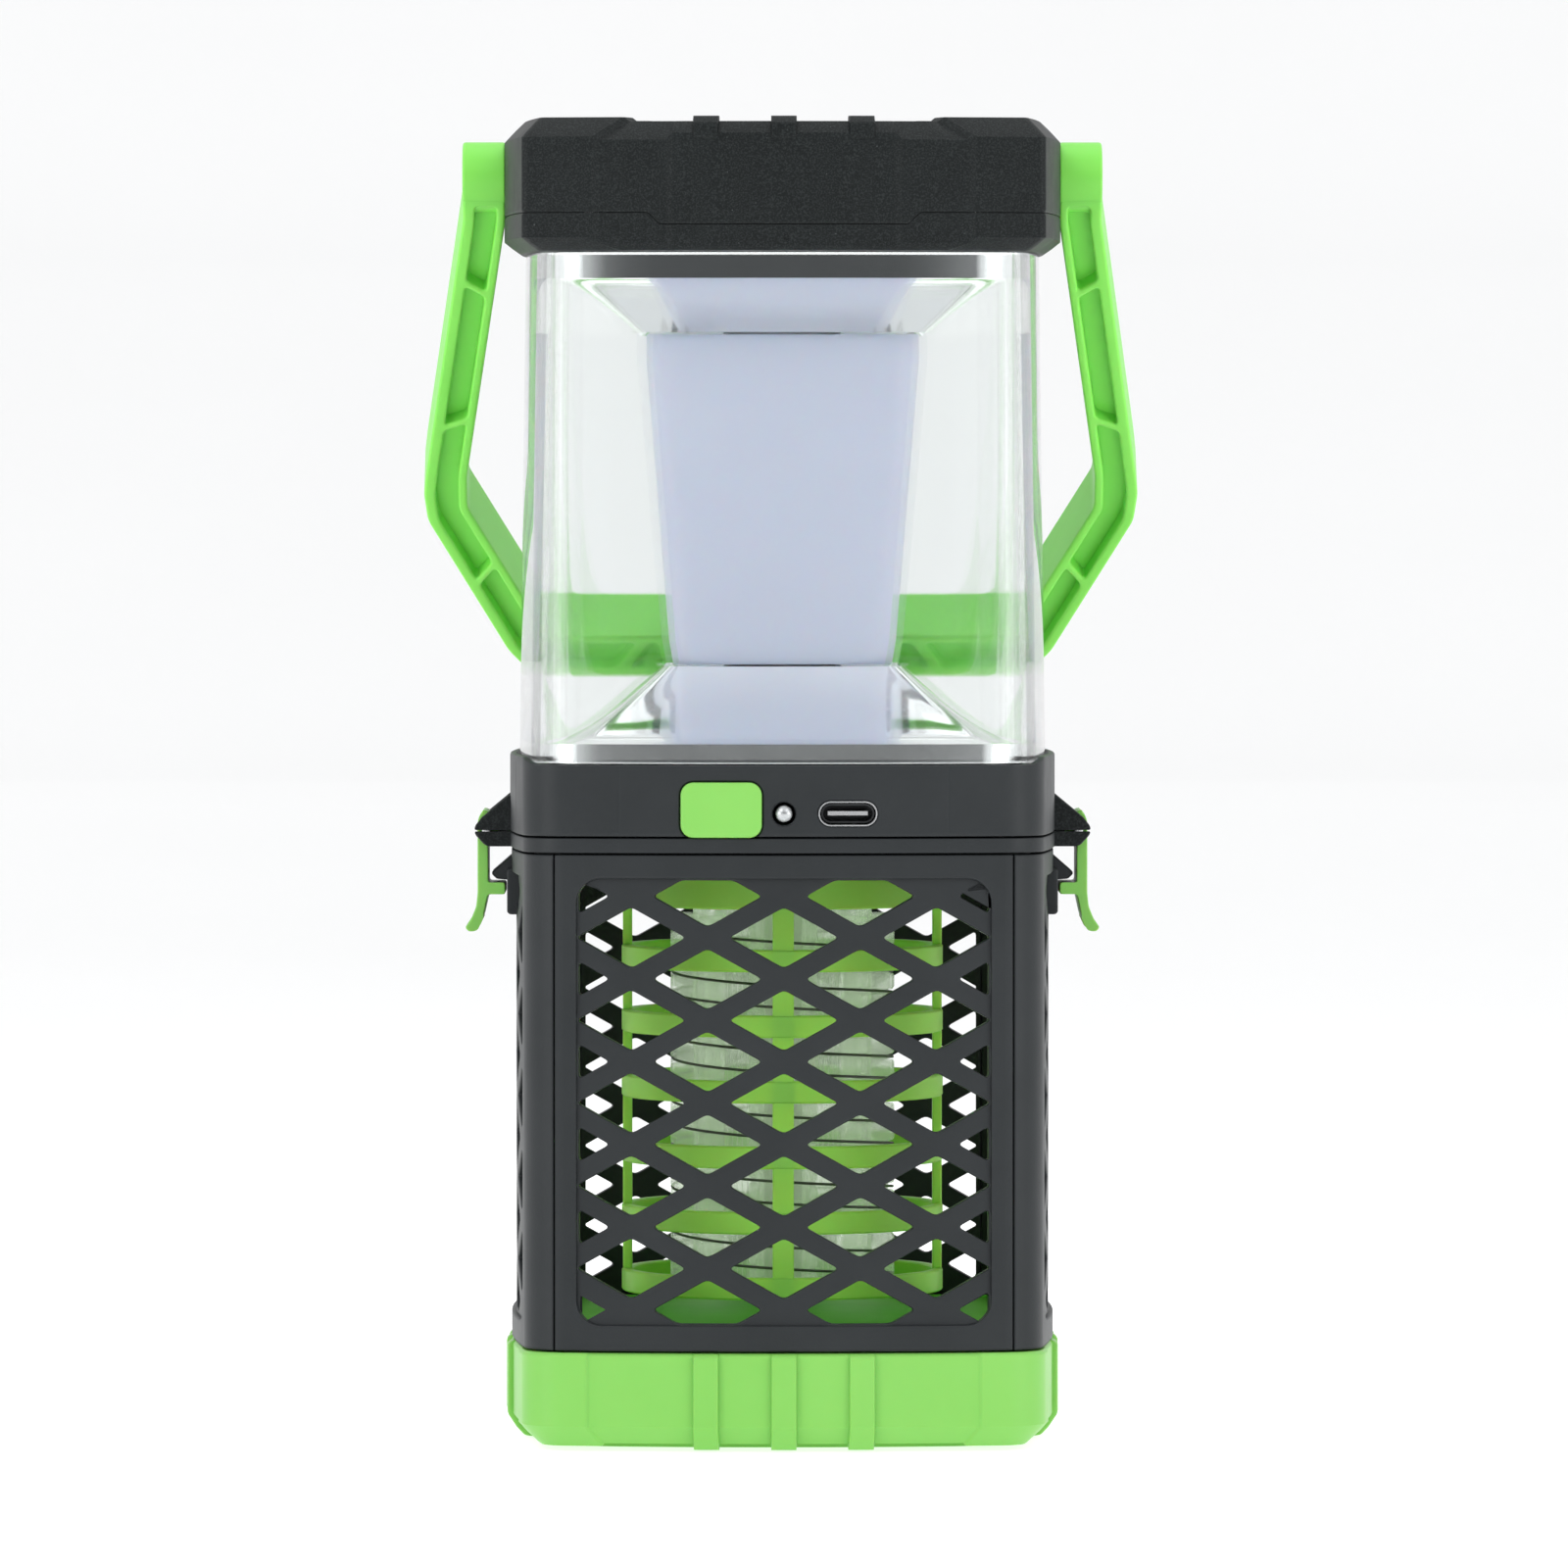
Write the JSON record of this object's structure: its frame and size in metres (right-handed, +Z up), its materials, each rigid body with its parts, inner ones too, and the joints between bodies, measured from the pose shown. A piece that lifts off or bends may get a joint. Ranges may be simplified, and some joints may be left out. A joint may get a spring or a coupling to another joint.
{
  "type": "electric bug zapper",
  "caption": "Square camping lantern with a clear lens over a lattice cage around an electric insect grid, side latches, catch base and a swinging bail handle.",
  "frame": {"origin": "centre of the base's flat underside", "axes": "+Z up, the controls face -Y, +X to the right as seen from the front"},
  "size_m": [0.1246, 0.1217, 0.2238],
  "materials": {
    "black_plastic": "fine spark-textured charcoal ABS",
    "green_plastic": "satin lime-green ABS",
    "guard_plastic": "satin green ABS",
    "clear_plastic": "clear moulded polycarbonate",
    "diffuser_plastic": "translucent milky plastic",
    "mirror_plastic": "vacuum-metallised mirror coating on plastic",
    "steel": "plated steel",
    "circuit_board": "solder-masked laminate",
    "white_board": "white solder-masked laminate",
    "battery_foil": "laminated foil pouch",
    "black_potting": "black moulded resin"
  },
  "bodies": {
    "body": {"base_cover": "green_plastic", "insect_tray": "green_plastic", "base_screw_1": "steel", "base_screw_2": "steel", "base_screw_3": "steel", "base_screw_4": "steel", "cage_front": "black_plastic", "cage_rear": "black_plastic", "cage_left": "black_plastic", "cage_right": "black_plastic", "grid_guard": "guard_plastic", "light_guide": "clear_plastic", "uv_board": "white_board", "grid_wire_a": "steel", "grid_wire_b": "steel", "collar_floor": "black_plastic", "collar_housing": "black_plastic", "collar_screw_1": "steel", "collar_screw_2": "steel", "collar_screw_3": "steel", "collar_screw_4": "steel", "main_board": "circuit_board", "power_switch": "black_potting", "status_led": "clear_plastic", "usb_shell": "steel", "usb_tongue": "black_potting", "booster_module": "black_potting", "battery_pack": "battery_foil", "latch_pin_left": "steel", "latch_pin_right": "steel", "lens": "clear_plastic", "lower_reflector": "mirror_plastic", "upper_reflector": "mirror_plastic", "diffuser": "diffuser_plastic", "led_board": "white_board", "cap_lower": "black_plastic", "cap_upper": "black_plastic", "cap_screw_1": "steel", "cap_screw_2": "steel", "cap_screw_3": "steel", "cap_screw_4": "steel"},
    "handle": {"handle": "green_plastic"},
    "latch_left": {"latch_left": "green_plastic"},
    "latch_right": {"latch_right": "green_plastic"},
    "power_button": {"power_button": "green_plastic"}
  },
  "joints": [
    {"name": "handle_swing", "type": "hinge", "parent": "body", "child": "handle", "pos_m": [0, 0, 0.2145], "axis": [1, 0, 0], "range_deg": [0, 280]},
    {"name": "latch_left_open", "type": "hinge", "parent": "body", "child": "latch_left", "pos_m": [-0.0505, 0, 0.103], "axis": [0, 1, 0], "range_deg": [0, 70]},
    {"name": "latch_right_open", "type": "hinge", "parent": "body", "child": "latch_right", "pos_m": [0.0505, 0, 0.103], "axis": [0, -1, 0], "range_deg": [0, 70]},
    {"name": "button_press", "type": "slide", "parent": "body", "child": "power_button", "axis": [0, 1, 0], "range_m": [0, 0.0008], "stiffness_N_per_m": 1200}
  ]
}
